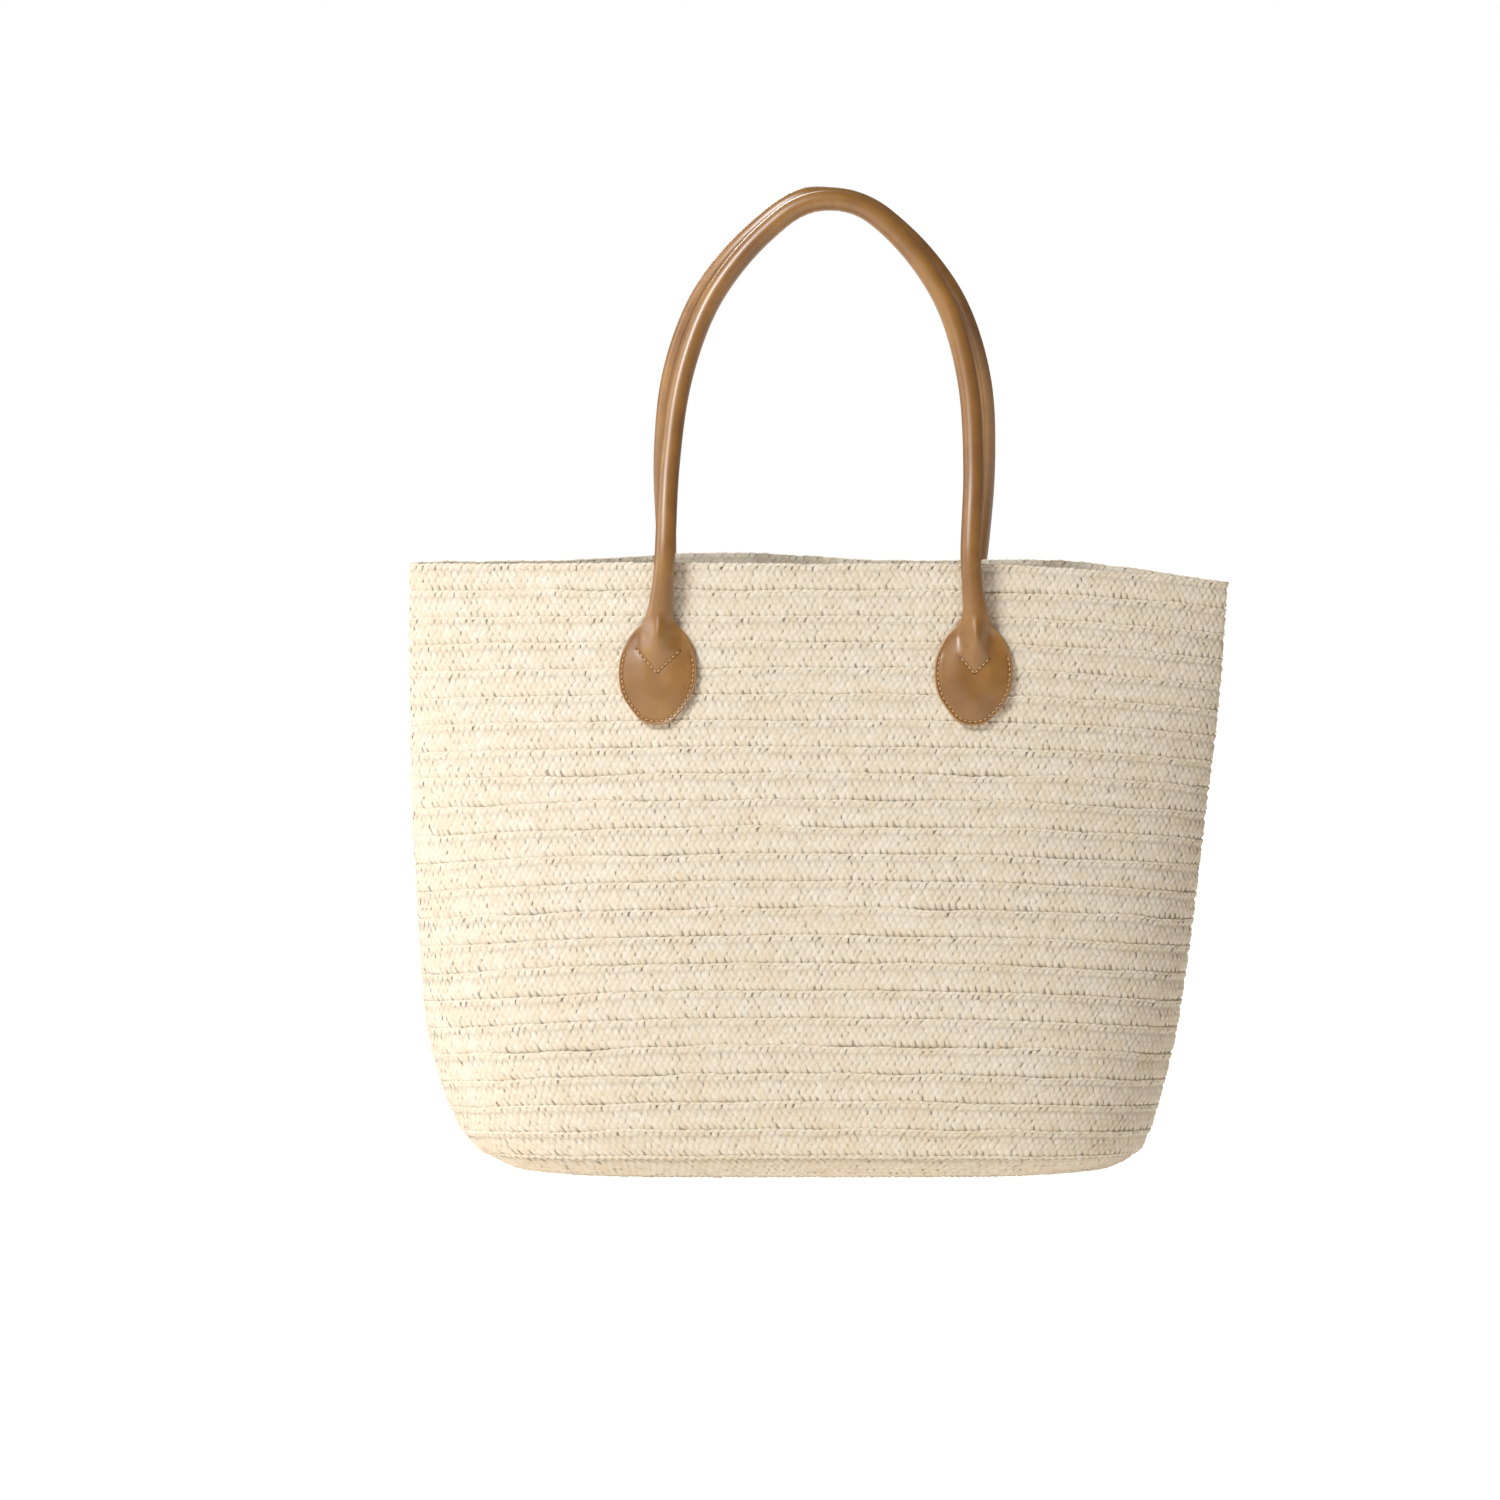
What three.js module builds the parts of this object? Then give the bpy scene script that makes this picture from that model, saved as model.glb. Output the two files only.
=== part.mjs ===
// A straw basket bag. One long straw plait is sewn round by round into the body, and two
// rolled leather handles open out at their ends into egg-shaped pads sewn to its front and back.
// Millimetres. +Z is up, +X runs along the bag's width, and the front faces -Y.
// The origin is the middle of the flat underside.
import * as THREE from "three";

// The straw body
const RIM_WIDTH = 440; // across the mouth, from fold to fold
const BODY_DEPTH = 130; // front to back where the body is deepest, low down
const ROUNDS = 23; // rounds of plait up the wall
const ROUND_HEIGHT = 14.3; // mean height that one round shows
const ROUND_SPREAD = 0.05; // the lowest round is taller than the mean by this share, the top one lower
const PLAIT = 2; // one layer of plait
const LAP = 1; // how far a round's upper edge stands out over the round above it
const SEAM = 0.5; // height of the step at that edge
const FLOOR = 2.5; // plait of the base
const END_DROOP = 10; // how far a round hangs down at the ends of the bag, below its middle
const END_REACH = 2.6; // the greater, the nearer to the ends that droop stays
const WALL_SIDES = 48; // points round each section of the body

// The handles
const ROLL = 11; // the rolled stretch's diameter
const PAD_WIDTH = 42;
const PAD_LENGTH = 57; // from the pad's tip to its neck
const PAD_THICK = 3;
const PAD_DROP = 85.5; // the pad's tip below the rim
const PAD_APART = 168; // between the middles of a handle's two pads
const RISE = 194; // of a handle's arch above the rim, to the roll's middle
const RIM_STANDOFF = 3; // the roll stands this much off the wall where it passes the rim
const CLEAR = 0.6; // between a handle and the plait, and between the two handles at the top
const DRAW_IN = 1.25; // the greater, the sooner the handles lean together above the rim
const FLATTEN = 0.75; // how square the edges of a pad's flat side are
const ROLL_STEP = 13; // length of one step of the roll
const ROLL_SIDES = 12;
const LINE_STEPS = 2000; // steps in which a handle's line is measured

const HEIGHT = ROUNDS * ROUND_HEIGHT;
const HALF_RIM = RIM_WIDTH / 2;
const HALF_DEPTH = BODY_DEPTH / 2;

// Sections of the body from the floor up. height is a share of HEIGHT, width and lean (how far the
// section's middle lies to the right) are shares of HALF_RIM, and depth is a share of HALF_DEPTH.
// straight makes the long sides straighter as it grows, and point turns the ends from round, at 0.5,
// to a fold, at 1. left and right are how far its two ends hang down, as shares of END_DROOP.
const SECTIONS = [
  { height: 0.0, width: 0.67, depth: 0.68, flat: 4.2, fold: 0.5, lean: 0.0, left: 0, right: 0 },
  { height: 0.01, width: 0.722, depth: 0.77, flat: 4.2, fold: 0.5, lean: 0.0, left: 0.05, right: 0.05 },
  { height: 0.022, width: 0.763, depth: 0.84, flat: 4.1, fold: 0.5, lean: 0.0, left: 0.14, right: 0.14 },
  { height: 0.04, width: 0.802, depth: 0.91, flat: 4.0, fold: 0.5, lean: -0.004, left: 0.28, right: 0.26 },
  { height: 0.06, width: 0.826, depth: 0.95, flat: 3.9, fold: 0.5, lean: -0.01, left: 0.43, right: 0.4 },
  { height: 0.09, width: 0.846, depth: 0.98, flat: 3.7, fold: 0.51, lean: -0.015, left: 0.64, right: 0.57 },
  { height: 0.15, width: 0.875, depth: 1.0, flat: 3.5, fold: 0.52, lean: -0.021, left: 0.9, right: 0.8 },
  { height: 0.22, width: 0.904, depth: 0.99, flat: 3.3, fold: 0.54, lean: -0.024, left: 1.0, right: 0.92 },
  { height: 0.3, width: 0.925, depth: 0.97, flat: 3.1, fold: 0.56, lean: -0.023, left: 1.06, right: 0.98 },
  { height: 0.45, width: 0.949, depth: 0.9, flat: 2.8, fold: 0.61, lean: -0.016, left: 1.0, right: 0.98 },
  { height: 0.61, width: 0.969, depth: 0.8, flat: 2.5, fold: 0.68, lean: -0.008, left: 0.75, right: 0.93 },
  { height: 0.78, width: 0.987, depth: 0.69, flat: 2.3, fold: 0.76, lean: 0.004, left: 0.44, right: 1.0 },
  { height: 1.0, width: 1.0, depth: 0.56, flat: 2.1, fold: 0.86, lean: 0.016, left: 0.02, right: 1.06 },
];

// The mouth is slack. Each side of it waves in and out by swing, a share of HALF_DEPTH, and up and
// down by ripple about lift, shares of END_DROOP. crest is a share of HALF_RIM, length of RIM_WIDTH.
const SLACK = {
  front: { swing: 0.04, lift: 0, ripple: 0, crest: -0.3, length: 0.56 },
  back: { swing: 0.09, lift: 0.33, ripple: 0.22, crest: -0.27, length: 0.47 },
};
const SLACK_FADE = 4; // the greater, the nearer to the rim the slack stays

// One end of a handle from the pad's tip. along is a share of PAD_LENGTH, wide of PAD_WIDTH and thick
// of PAD_THICK, and rolled is the share of ROLL that is added to both. flat is 1 where the side
// towards the plait is flat and turned as the wall is, and 0 where the handle is round.
const PAD_SECTIONS = [
  { along: 0, wide: 0.16, thick: 0.85, rolled: 0, flat: 1 },
  { along: 0.028, wide: 0.34, thick: 1, rolled: 0, flat: 1 },
  { along: 0.09, wide: 0.54, thick: 1, rolled: 0, flat: 1 },
  { along: 0.25, wide: 0.86, thick: 1, rolled: 0, flat: 1 },
  { along: 0.48, wide: 1, thick: 1.05, rolled: 0, flat: 1 },
  { along: 0.62, wide: 0.93, thick: 0.95, rolled: 0.15, flat: 1 },
  { along: 0.73, wide: 0.79, thick: 0.95, rolled: 0.3, flat: 0.95 },
  { along: 0.84, wide: 0.56, thick: 0.73, rolled: 0.55, flat: 0.75 },
  { along: 0.93, wide: 0.27, thick: 0.43, rolled: 0.78, flat: 0.45 },
  { along: 1, wide: 0.126, thick: 0.2, rolled: 0.93, flat: 0.2 },
  { along: 1.12, wide: 0.045, thick: 0, rolled: 1, flat: 0 },
  { along: 1.58, wide: 0, thick: 0, rolled: 1, flat: 0 },
];

// Half of the arch that a handle makes above the rim, but for its top. out is a share of half its
// spread and up a share of its rise.
const ARCH = [
  { out: 1.0, up: 0.0 },
  { out: 0.995, up: 0.27 },
  { out: 0.94, up: 0.5 },
  { out: 0.805, up: 0.69 },
  { out: 0.64, up: 0.81 },
  { out: 0.41, up: 0.92 },
  { out: 0.2, up: 0.985 },
];

// side is -1 at the front and 1 at the back. spread, the arch's width at the rim, and shift, how far
// it lies to the right, are shares of PAD_APART. lean, how much further its top does, is a share of
// RISE. bow is how far the legs bend out halfway up, as a share of half the spread. crown is the
// top's height as a share of RISE: at 1 the top is round, and above 1 it is more pointed.
const HANDLES = [
  { name: "handle_front", side: -1, spread: 0.97, crown: 1.004, shift: -0.006, lean: 0.041, bow: 0 },
  { name: "handle_back", side: 1, spread: 1.012, crown: 1.004, shift: 0.013, lean: 0.024, bow: 0.045 },
];

const STRAW = new THREE.MeshStandardMaterial({ color: 0xe6d8ba, roughness: 0.85, metalness: 0 });
const LEATHER = new THREE.MeshStandardMaterial({ color: 0xa37a4d, roughness: 0.5, metalness: 0 });

// A function that reads every column of a table smoothly at any value of its first column.
function smoothTable(rows) {
  const [first, ...columns] = Object.keys(rows[0]);
  const curve = new THREE.CubicInterpolant(
    rows.map((row) => row[first]),
    rows.flatMap((row) => columns.map((column) => row[column])),
    columns.length,
  );
  const last = rows[rows.length - 1][first];
  return (value) => {
    const read = curve.evaluate(Math.min(Math.max(value, 0), last));
    return Object.fromEntries(columns.map((column, i) => [column, read[i]]));
  };
}

const sectionAt = smoothTable(SECTIONS);
const padAt = smoothTable(PAD_SECTIONS);

// Skins closed rings with the same number of points and closes both ends with a fan. The rings turn
// left about the way from the first ring to the last.
function loft(rings) {
  const sides = rings[0].length;
  const points = rings.flat();
  const faces = [];
  for (let ring = 0; ring + 1 < rings.length; ring++) {
    for (let i = 0; i < sides; i++) {
      const here = ring * sides + i;
      const next = ring * sides + ((i + 1) % sides);
      faces.push(here, next, next + sides, here, next + sides, here + sides);
    }
  }
  const firstOfLast = points.length - sides;
  const middle = (from) =>
    points
      .slice(from, from + sides)
      .reduce((sum, p) => sum.add(p), new THREE.Vector3())
      .divideScalar(sides);
  points.push(middle(0), middle(firstOfLast));
  for (let i = 0; i < sides; i++) {
    const next = (i + 1) % sides;
    faces.push(points.length - 2, next, i);
    faces.push(points.length - 1, firstOfLast + i, firstOfLast + next);
  }
  return new THREE.BufferGeometry().setFromPoints(points).setIndex(faces);
}

// Where one side of the wall is at x, in a section that lies at height z in the middle of the bag and
// is deep from the middle plane to that side.
function wallPoint(section, x, z, side, deep) {
  const { swing, lift, ripple, crest, length } = side < 0 ? SLACK.front : SLACK.back;
  const beside = x / HALF_RIM - section.lean;
  const across = Math.min(1, Math.abs(beside) / section.width);
  const loose = (1 - across * across) * (z / HEIGHT) ** SLACK_FADE;
  const wave = Math.cos((2 * Math.PI * (x - crest * HALF_RIM)) / (length * RIM_WIDTH));
  const droop = (beside < 0 ? section.left : section.right) * across ** END_REACH;
  const raised = (lift + ripple * wave) * loose;
  const y = side * (deep + swing * HALF_DEPTH * wave * loose);
  return new THREE.Vector3(x, y, z + END_DROOP * (raised - droop));
}

// Half the depth of the body at a share of its half width.
function halfDepth(section, across, outward) {
  const fullness = (1 - Math.min(1, Math.abs(across)) ** section.flat) ** section.fold;
  return (section.depth * HALF_DEPTH + outward) * fullness;
}

// One section of the body at height z, shaped like the section at height like. outward moves it out
// evenly, and ends moves its two ends out.
function wallRing(z, like, outward, ends) {
  const section = sectionAt(like / HEIGHT);
  return Array.from({ length: WALL_SIDES }, (_, i) => {
    const turn = (2 * Math.PI * i) / WALL_SIDES;
    const across = Math.cos(turn);
    const side = turn < Math.PI ? 1 : -1;
    const x = section.lean * HALF_RIM + (section.width * HALF_RIM + ends) * across;
    return wallPoint(section, x, z, side, halfDepth(section, across, outward));
  });
}

// How far the inside falls short of the ends, so that a fold isn't thinner than the wall.
function endWall(z) {
  const section = sectionAt(z / HEIGHT);
  const thin = (PLAIT / (section.depth * HALF_DEPTH)) ** (1 / section.fold);
  const reach = (1 - thin) ** (1 / section.flat);
  return Math.max(PLAIT, section.width * HALF_RIM * (1 - reach));
}

// The height of the seam under a round, where round 0 is the lowest.
function seamHeight(round) {
  const share = round / ROUNDS;
  return HEIGHT * (share * (1 + ROUND_SPREAD) - ROUND_SPREAD * share * share);
}

// The body: up the outside over the lapped rounds, over the rim, and down the inside to the floor.
function bodyGeometry() {
  const rings = SECTIONS.filter((row) => row.height * HEIGHT < seamHeight(1) - SEAM).map((row) =>
    wallRing(row.height * HEIGHT, row.height * HEIGHT, 0, 0),
  );
  for (let round = 1; round <= ROUNDS; round++) {
    const edge = round < ROUNDS ? seamHeight(round) - SEAM : HEIGHT;
    rings.push(wallRing(edge, edge, LAP, LAP));
    if (round < ROUNDS) rings.push(wallRing(edge + SEAM, edge + SEAM, 0, 0));
  }
  const inside = [...SECTIONS].reverse().map((row) => row.height * (HEIGHT - FLOOR) + FLOOR);
  for (const z of inside) {
    rings.push(wallRing(z, z - FLOOR, -PLAIT, -endWall(z - FLOOR)));
  }
  return loft(rings);
}

// A point on the outside of the front or back wall, the given distance off its rounds' edges, at
// beside to the left or right of the section's middle and at height z.
function offWall(side, beside, z, away) {
  const section = sectionAt(z / HEIGHT);
  const deep = halfDepth(section, beside / (section.width * HALF_RIM), LAP) + away;
  return wallPoint(section, section.lean * HALF_RIM + beside, z, side, deep);
}

// The way that the wall faces beside the middle, about level with a pad.
function wallFacing(side, beside) {
  const level = HEIGHT - PAD_DROP + PAD_LENGTH / 2;
  const step = PAD_WIDTH / 2;
  const along = offWall(side, beside + step, level, 0).sub(offWall(side, beside - step, level, 0));
  return new THREE.Vector3(-along.y * side, along.x * side, 0).normalize();
}

// A handle's thickness and width at a row read from PAD_SECTIONS.
function thicknessOf({ thick, rolled }) {
  return thick * PAD_THICK + rolled * ROLL;
}

function widthOf({ wide, rolled }) {
  return wide * PAD_WIDTH + rolled * ROLL;
}

// The line that a handle follows through its middle, from the left pad's tip to the right one's.
function handleLine({ side, spread, crown, shift, lean, bow }) {
  const halfSpread = (spread * PAD_APART) / 2;
  const pad = (hand) =>
    PAD_SECTIONS.filter((row) => row.along <= 1).map((row) => {
      const z = HEIGHT - PAD_DROP + row.along * PAD_LENGTH;
      return offWall(side, (hand * PAD_APART) / 2, z, CLEAR + thicknessOf(row) / 2);
    });
  const top = (side * (ROLL + CLEAR)) / 2;
  const archPoint = (hand, { out, up }) => {
    const foot = offWall(side, hand * halfSpread, HEIGHT, CLEAR + RIM_STANDOFF + ROLL / 2);
    const bowed = out - 1 + bow * Math.sin(Math.PI * up);
    const x = foot.x + hand * halfSpread * bowed + shift * PAD_APART + lean * RISE * up;
    const deep = top + (foot.y - top) * Math.max(0, 1 - up) ** DRAW_IN;
    return new THREE.Vector3(x, deep, foot.z + RISE * up);
  };
  return new THREE.CatmullRomCurve3([
    ...pad(-1),
    ...ARCH.map((row) => archPoint(-1, row)),
    archPoint(1, { out: 0, up: crown }),
    ...[...ARCH].reverse().map((row) => archPoint(1, row)),
    ...pad(1).reverse(),
  ]);
}

// One handle: pad, roll and pad, lofted along its line.
function handleGeometry(handle) {
  const line = handleLine(handle);
  line.arcLengthDivisions = LINE_STEPS;
  const length = line.getLength();
  const padRows = PAD_SECTIONS.map((row) => row.along * PAD_LENGTH);
  const rollStart = padRows[padRows.length - 1];
  const steps = Math.round((length - 2 * rollStart) / ROLL_STEP);
  const roll = Array.from({ length: steps - 1 }, (_, i) => {
    return rollStart + ((i + 1) * (length - 2 * rollStart)) / steps;
  });
  const stations = [...padRows, ...roll, ...[...padRows].reverse().map((row) => length - row)];
  const rings = stations.map((station) => {
    const share = station / length;
    const middle = line.getPointAt(share);
    const ahead = line.getTangentAt(share);
    const hand = share < 0.5 ? -1 : 1;
    const section = padAt(Math.min(station, length - station) / PAD_LENGTH);
    const out = new THREE.Vector3(0, handle.side, 0);
    out.lerp(wallFacing(handle.side, (hand * PAD_APART) / 2), section.flat);
    out.addScaledVector(ahead, -out.dot(ahead)).normalize();
    const across = new THREE.Vector3().crossVectors(out, ahead);
    return Array.from({ length: ROLL_SIDES }, (_, i) => {
      const turn = (2 * Math.PI * i) / ROLL_SIDES;
      const rise = Math.sin(turn);
      const power = rise < 0 ? 1 - FLATTEN * section.flat : 1;
      const off = (Math.sign(rise) * Math.abs(rise) ** power * thicknessOf(section)) / 2;
      const beside = (Math.cos(turn) * widthOf(section)) / 2;
      return middle.clone().addScaledVector(across, beside).addScaledVector(out, off);
    });
  });
  return loft(rings);
}

function piece(name, geometry, material) {
  const mesh = new THREE.Mesh(geometry, material);
  mesh.name = name;
  return mesh;
}

const bag = new THREE.Group();
bag.add(piece("straw_body", bodyGeometry(), STRAW));
for (const handle of HANDLES) {
  bag.add(piece(handle.name, handleGeometry(handle), LEATHER));
}

export default bag;
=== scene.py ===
import math

import bmesh
import bpy
import numpy as np
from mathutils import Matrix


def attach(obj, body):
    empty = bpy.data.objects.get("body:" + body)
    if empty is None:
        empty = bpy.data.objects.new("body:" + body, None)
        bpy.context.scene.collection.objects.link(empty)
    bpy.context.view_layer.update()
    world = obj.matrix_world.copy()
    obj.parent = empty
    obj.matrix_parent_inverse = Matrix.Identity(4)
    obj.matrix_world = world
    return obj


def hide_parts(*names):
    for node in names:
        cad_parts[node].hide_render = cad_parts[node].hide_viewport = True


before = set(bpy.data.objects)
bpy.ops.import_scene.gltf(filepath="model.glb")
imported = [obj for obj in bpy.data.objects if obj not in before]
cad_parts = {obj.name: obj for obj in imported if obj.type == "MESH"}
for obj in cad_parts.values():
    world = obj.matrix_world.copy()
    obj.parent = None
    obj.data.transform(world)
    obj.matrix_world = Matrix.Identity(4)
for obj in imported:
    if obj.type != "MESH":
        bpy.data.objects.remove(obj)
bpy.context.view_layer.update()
MM = 0.001
TURN = 2 * math.pi
chance = np.random.default_rng(23)

# The straw plait
PITCH = 3.75 * MM  # between strands that lie side by side along the plait
ROW = 3.35 * MM  # between the rows of crossings, up the plait
STRAND = 3.5 * MM  # width of a flattened paper strand
RELIEF = 0.72 * MM  # how far a strand stands out where it crosses over the next
UNDER = 0.4 * MM  # how far the crossed strands lie behind the face
FOLD_DROP = 0.9 * MM  # from the plait's edge down to the middle of the strands folded round it
FOLD_SIZE = 0.95 * MM  # how far a folded strand stands off that middle
FOLD_SET = 0.3 * MM  # how far that middle lies behind the face
FIRST_ROW = 2.75 * MM  # from the edge down to the middle of the first row of crossings
HEMMED = 0.7 * MM  # from the edge down to where the crossed strands end
LAST_ROW = 1.5 * MM  # from the foot up to the middle of the last row
# No two strands are quite alike. Each scatter is one standard deviation.
STRAY = 0.2 * MM  # how far a strand strays from its place
LEAN_SCATTER = (-0.06, 0.16)  # mean and scatter of its lean beyond the pattern's, in radians
LENGTH_SCATTER = 0.07
WIDTH_SCATTER = 0.1
RELIEF_SCATTER = 0.16
FOLD_SCATTER = 0.17
FOLD_SLANT = (0.45, 0.2)  # mean and scatter of how far a folded strand slants along the plait
TILT = 0.1 * MM  # how far a strand's one side stands over its other
INNER_FIRST = 4.9 * MM  # from the edge down to the first row on the inside
INNER_LAST = 1.2 * MM  # from the foot down to the last row on the inside
THICK = 1.35 * MM  # the plait without the strands that stand out of it
TUCK = 3 * MM  # how far a round reaches down inside the one below it
TUCKED = 0.58 * MM  # how far it leans in there
FOOT_LIFT = 0.65 * MM  # how far a round's foot stands off the band, over the edge below it
FURROW_DROP = 4.4 * MM  # from the edge down to the furrow that the sewing pulls in
FURROW_HALF = 1.0 * MM  # half its width
FURROW_DEEP = 0.65 * MM
SWAY = 0.7 * MM  # how far a seam wanders up and down, as it was sewn by eye
SWAY_WAVES = (5, 8, 13, 21)  # how often each wave of that goes round the bag
BELLY = 0.3 * MM  # how far the plait bulges out between furrow and foot
BASE_ROUNDS = 3
BASE_SLOT = 0.02  # the width of the slot that the base starts from, as a share of the base
BASE_LIFT = 1.75 * MM  # from the floor up to the base's band, so that its strands just touch down
BASE_LIFTED_TO = 1.0  # metres, past every round of the base, so that all of it is lifted
CORNER_LIFT = 12 * MM  # the first round of the wall is lifted too, less and less up to here
CORNER_RINGS = 4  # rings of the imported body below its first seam
BODY_ROUNDS = 23
BACKING_STEPS = 144  # round the bag
BACKING_RISE = 4 * MM  # between its points, up the plait
BACKING_TOP = 1.3 * MM  # from the edge down to its upper end
# Painted shading is a share of the straw's colour: painted shade in the hollows between the
# strands, a painted highlight on their crowns.
# Painted shade on the backing, which shows only in the gaps between the strands.
BACKING_SHADE = 0.62
STRAND_TONE = 0.85
CROWN_HIGHLIGHT = 0.15  # painted highlight: how much lighter a strand is where it crosses over the next
FURROW_TONE = 0.13  # how much darker it is in the furrow
# The folded strands' share, with a painted highlight on the crown of each fold.
FOLD_TONE = 0.88
FOLD_CROWN_HIGHLIGHT = 0.14

# The leather handles
PAD_PLATE = 3.0 * MM  # two thicknesses of leather
PAD_BEVEL = 0.8 * MM  # the radius of its rubbed edge
PAD_FLARE = 0.22 * MM  # how far the middle of that edge is worn in
PAD_SWELL = 2.7 * MM  # how much the padded middle stands over the sewn edge
SWELL_OVER = 15 * MM  # from the edge in to where it is at its full height
CORE_RISE = 2.0 * MM  # how much the handle's core stands out above the stitched V
CORE_HALF = 5.4 * MM  # half its width there
CORE_FROM = 2 * MM  # from the point of the V up to where the core starts to rise
CORE_TO = 18 * MM  # and up to where it has risen in full
RIDGE_HALF = 5.5 * MM  # the least that half of the ridge measures, near the neck
PAD_REACH = 64 * MM  # from a pad's tip to where its handle is fully round
PAD_FLAT_TO = 46 * MM  # up to here a pad is flat outside its ridge
ROUND_FROM = 62 * MM  # and from here on the handle is a plain roll
V_FOOT = 27.5 * MM  # from the pad's tip up to the point of the stitched V
V_LEFT = (11.5 * MM, 12.5 * MM)  # half of its width on the left pad, and its full height
V_RIGHT = (8.5 * MM, 9.5 * MM)
STITCH = 2.8 * MM  # from hole to hole
THREAD = 0.8 * MM
HOLE_LIP = 0.95 * MM  # radius of the leather pressed in round a hole
HOLE_RIM = 0.62 * MM
HOLE_PIT = 0.2 * MM
BORDER = 1.8 * MM  # from the pad's cut edge in to its border stitches
BORDER_TO = 38 * MM  # up to here the border is stitched
BORDER_PULL = 0.5 * MM  # how deep the border's thread pulls the leather in
V_PULL = 0.3 * MM
SEAM_DEEP = 0.4 * MM  # the closing seam, along the side of the roll that faces the bag
CREASE_DEEP = 0.34 * MM  # the creases under the top of a handle
CREASE_REACH = 24  # how far along they fade out, in mm
OUTER_SIDES = 56  # the sides round the outer half of the leather
# The turns in degrees round its inner half, closer together at the seam.
INNER_TURNS = (192, 204, 216, 228, 240, 252, 262, 267, 270, 273, 278, 288, 300, 312, 324, 336, 348)

LAMP_COLOUR = (1, 0.99, 0.98)
LAMPS_AIM = (0, 0, 250 * MM)
CAMERA_TARGET = (-33.5 * MM, 0, 227.5 * MM)
CAMERA_DISTANCE = 3.0
CAMERA_RISE = math.radians(2.5)
FRAME_WIDTH = 0.81  # what the photograph's frame spans at the target
SENSOR = 36


def linear(code):
    """An sRGB hex colour as the linear colour that a shader takes."""
    parts = [int(code[i : i + 2], 16) / 255 for i in (1, 3, 5)]
    return tuple(p / 12.92 if p <= 0.04045 else ((p + 0.055) / 1.055) ** 2.4 for p in parts) + (1,)


def add_node(tree, kind, inputs=None, **settings):
    """Adds a node with its settings, and sets or links each of its inputs that is named."""
    made = tree.nodes.new(kind)
    for name, value in settings.items():
        setattr(made, name, value)
    for name, value in (inputs or {}).items():
        if isinstance(value, bpy.types.NodeSocket):
            tree.links.new(value, made.inputs[name])
        else:
            made.inputs[name].default_value = value
    return made


def new_material(name):
    material = bpy.data.materials.new(name)
    material.use_nodes = True
    material.node_tree.nodes.clear()
    return material, material.node_tree


def paper_straw():
    """Natural paper straw, twisted flat and plaited. It is matt and dry, each strand a little
    different in its cream, and finely creased along its length."""
    material, tree = new_material("paper_straw_plait")
    strand = add_node(tree, "ShaderNodeAttribute", attribute_name="strand")
    # The straw's painted shading: painted shade in its hollows and a painted highlight on its
    # crowns.
    painted_shading = add_node(tree, "ShaderNodeAttribute", attribute_name="painted_shading")
    parts = add_node(tree, "ShaderNodeSeparateXYZ", {"Vector": strand.outputs["Vector"]})
    place = add_node(tree, "ShaderNodeTexCoord")
    # The straw comes from different hanks, so a warmer cream drifts in over 10 to 30 mm.
    stretched = add_node(
        tree,
        "ShaderNodeMapping",
        {"Vector": place.outputs["Object"], "Scale": (1, 1, 2.6)},
    )
    drift = add_node(
        tree,
        "ShaderNodeTexNoise",
        {"Vector": stretched.outputs["Vector"], "Scale": 1 / (24 * MM), "Detail": 2.0},
    )
    warm = add_node(
        tree,
        "ShaderNodeMapRange",
        {"Value": drift.outputs["Fac"], "From Min": 0.42, "From Max": 0.72, "To Max": 0.4},
    )
    # Fine creases lie along each strand, about 0.4 mm apart.
    creases_at = add_node(
        tree,
        "ShaderNodeVectorMath",
        {0: strand.outputs["Vector"], 1: (0.28, 2.3, 40.0)},
        operation="MULTIPLY",
    )
    creases = add_node(
        tree,
        "ShaderNodeTexNoise",
        {"Vector": creases_at.outputs["Vector"], "Scale": 1.0, "Detail": 3.0, "Roughness": 0.6},
    )
    cream = add_node(tree, "ShaderNodeValToRGB", {"Fac": parts.outputs["Z"]})
    cream.color_ramp.elements[0].color = linear("#e9e0cc")
    cream.color_ramp.elements[1].color = linear("#f1ebdd")
    hanks = add_node(
        tree,
        "ShaderNodeMix",
        {0: warm.outputs["Result"], 6: cream.outputs["Color"], 7: linear("#e9d7bb")},
        data_type="RGBA",
    )
    streaks = add_node(
        tree,
        "ShaderNodeMapRange",
        {
            "Value": creases.outputs["Fac"],
            "From Min": 0.3,
            "From Max": 0.7,
            "To Min": 0.9,
            "To Max": 1.04,
        },
    )
    # Painted shade and painted highlight, multiplied into the straw's colour.
    shade = add_node(
        tree,
        "ShaderNodeMath",
        {0: streaks.outputs["Result"], 1: painted_shading.outputs["Fac"]},
        operation="MULTIPLY",
    )
    colour = add_node(
        tree,
        "ShaderNodeVectorMath",
        {0: hanks.outputs[2], "Scale": shade.outputs["Value"]},
        operation="SCALE",
    )
    bump = add_node(
        tree,
        "ShaderNodeBump",
        {"Height": creases.outputs["Fac"], "Strength": 0.6, "Distance": 0.3 * MM},
    )
    surface = add_node(
        tree,
        "ShaderNodeBsdfPrincipled",
        {
            "Base Color": colour.outputs["Vector"],
            "Roughness": 0.62,
            "Specular IOR Level": 0.35,
            "Normal": bump.outputs["Normal"],
        },
    )
    add_node(tree, "ShaderNodeOutputMaterial", {"Surface": surface.outputs["BSDF"]})
    return material


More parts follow.
